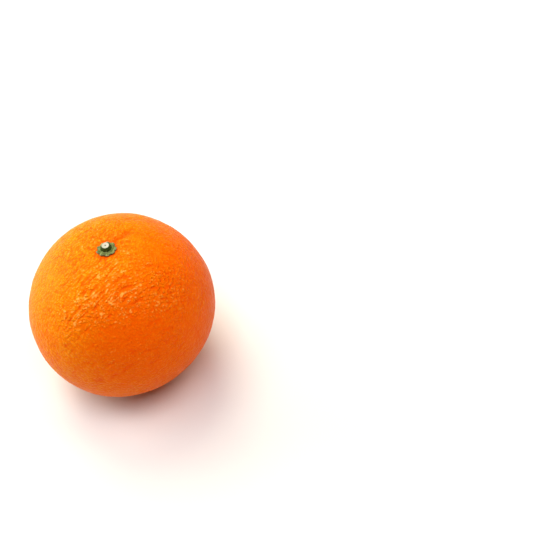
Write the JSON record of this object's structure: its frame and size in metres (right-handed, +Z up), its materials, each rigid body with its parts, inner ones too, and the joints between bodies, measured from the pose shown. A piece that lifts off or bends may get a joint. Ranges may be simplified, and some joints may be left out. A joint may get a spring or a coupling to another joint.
{
  "type": "mandarin",
  "caption": "Whole mandarin with an orange peel, a green calyx and a clipped stalk, for food, kitchen and still-life scenes; it stands on its blossom end.",
  "frame": {"origin": "on the surface the fruit rests on, under the middle of its box", "axes": "+Z up through the stem end, from the flat spot at the blossom end to the clipped stalk; +X to the right and +Y away when the fruit is seen from its best side"},
  "size_m": [0.068, 0.0688, 0.0627],
  "materials": {
    "peel": "satin",
    "sepal": "matte",
    "stalk": "matte"
  },
  "bodies": {
    "root": {"fruit": "peel", "calyx": "sepal", "stem": "stalk"}
  },
  "joints": []
}
